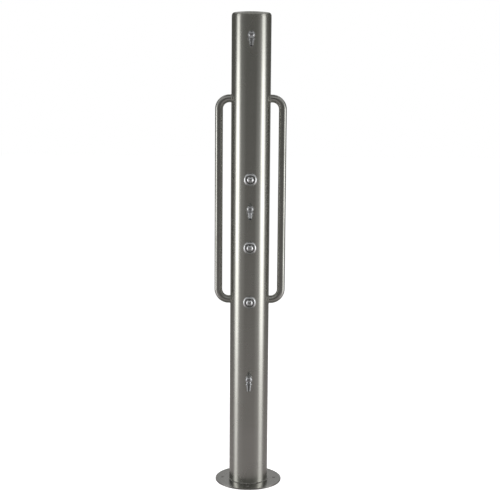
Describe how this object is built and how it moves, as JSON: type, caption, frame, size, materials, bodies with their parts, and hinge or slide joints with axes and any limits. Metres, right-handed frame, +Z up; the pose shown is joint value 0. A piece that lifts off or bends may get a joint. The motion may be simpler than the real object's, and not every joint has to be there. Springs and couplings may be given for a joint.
{
  "type": "shower column",
  "caption": "Free-standing round shower column with push-button valves and swivelling spray heads down its front, a grab rail on each side and a bolted base flange.",
  "frame": {"origin": "centre of the base flange's underside, on the finished floor", "axes": "+Z up along the column, -Y towards the user who faces the buttons and spray heads, +X to that user's right"},
  "size_m": [0.3057, 0.2937, 2.04],
  "materials": {
    "casing_steel": "circumferentially brushed stainless steel",
    "rail_steel": "lengthwise satin stainless steel",
    "chrome": "bright chrome plate",
    "fastener_steel": "plain stainless steel",
    "pipe_steel": "drawn stainless tube",
    "brass": "cast and turned brass",
    "seal_rubber": "black moulded rubber",
    "valve_plastic": "white acetal",
    "spray_plastic": "dark grey acetal",
    "grip_plastic": "dipped vinyl",
    "spring_steel": "spring wire"
  },
  "bodies": {
    "column": {"access_hatch": "casing_steel", "base_flange": "casing_steel", "button_spring_lower": "spring_steel", "button_spring_middle": "spring_steel", "button_spring_upper": "spring_steel", "cap_screws": "fastener_steel", "clamp_caps": "fastener_steel", "clamp_screws": "fastener_steel", "column_tube": "casing_steel", "compression_nuts": "brass", "grab_rail_left": "rail_steel", "grab_rail_right": "rail_steel", "hatch_frame": "fastener_steel", "hatch_gasket": "seal_rubber", "hatch_screws": "fastener_steel", "head_gaskets": "seal_rubber", "head_lock_nuts": "brass", "head_seats": "chrome", "head_spigot_lower": "chrome", "head_spigot_middle": "chrome", "head_spigot_upper": "chrome", "head_washers": "fastener_steel", "inlet_pipe": "pipe_steel", "inner_elbows": "brass", "outlet_pipe_lower": "pipe_steel", "outlet_pipe_middle": "pipe_steel", "outlet_pipe_upper": "pipe_steel", "pipe_brackets": "fastener_steel", "riser_pipe": "pipe_steel", "riser_plug": "brass", "stop_valve_body": "brass", "supply_pipe_lower": "pipe_steel", "supply_pipe_middle": "pipe_steel", "supply_pipe_upper": "pipe_steel", "top_cap": "casing_steel", "valve_bodies": "brass", "valve_cartridges": "valve_plastic", "valve_gaskets": "seal_rubber", "valve_lock_nuts": "brass", "valve_rosette_lower": "chrome", "valve_rosette_middle": "chrome", "valve_rosette_upper": "chrome", "valve_washers": "fastener_steel"},
    "button_upper": {"push_button_upper": "chrome"},
    "head_upper": {"swivel_nut_upper": "chrome", "spray_nozzle_upper": "chrome", "spray_insert_upper": "spray_plastic"},
    "button_middle": {"push_button_middle": "chrome"},
    "head_middle": {"swivel_nut_middle": "chrome", "spray_nozzle_middle": "chrome", "spray_insert_middle": "spray_plastic"},
    "button_lower": {"push_button_lower": "chrome"},
    "head_lower": {"swivel_nut_lower": "chrome", "spray_nozzle_lower": "chrome", "spray_insert_lower": "spray_plastic"},
    "stop_valve": {"stop_valve_ball": "chrome", "stop_valve_lever": "fastener_steel", "stop_valve_grip": "grip_plastic", "stop_valve_nut": "fastener_steel"}
  },
  "joints": [
    {"name": "button_upper_press", "type": "slide", "parent": "column", "child": "button_upper", "axis": [0, 1, 0], "range_m": [0, 0.008], "stiffness_N_per_m": 1200, "springref_m": -0.012, "deforming": ["button_spring_upper"]},
    {"name": "button_middle_press", "type": "slide", "parent": "column", "child": "button_middle", "axis": [0, 1, 0], "range_m": [0, 0.008], "stiffness_N_per_m": 1200, "springref_m": -0.012, "deforming": ["button_spring_middle"]},
    {"name": "button_lower_press", "type": "slide", "parent": "column", "child": "button_lower", "axis": [0, 1, 0], "range_m": [0, 0.008], "stiffness_N_per_m": 1200, "springref_m": -0.012, "deforming": ["button_spring_lower"]},
    {"name": "head_upper_tilt", "type": "hinge", "parent": "column", "child": "head_upper", "pos_m": [0, -0.11215, 1.942], "axis": [1, 0, 0], "range_deg": [-10, 10]},
    {"name": "head_middle_tilt", "type": "hinge", "parent": "column", "child": "head_middle", "pos_m": [0, -0.11215, 1.22], "axis": [1, 0, 0], "range_deg": [-10, 10]},
    {"name": "head_lower_tilt", "type": "hinge", "parent": "column", "child": "head_lower", "pos_m": [0, -0.11215, 0.483], "axis": [1, 0, 0], "range_deg": [-10, 10]},
    {"name": "stop_valve_turn", "type": "hinge", "parent": "column", "child": "stop_valve", "pos_m": [0, 0.015, 0.23], "axis": [0, 1, 0], "range_deg": [0, 90]}
  ]
}
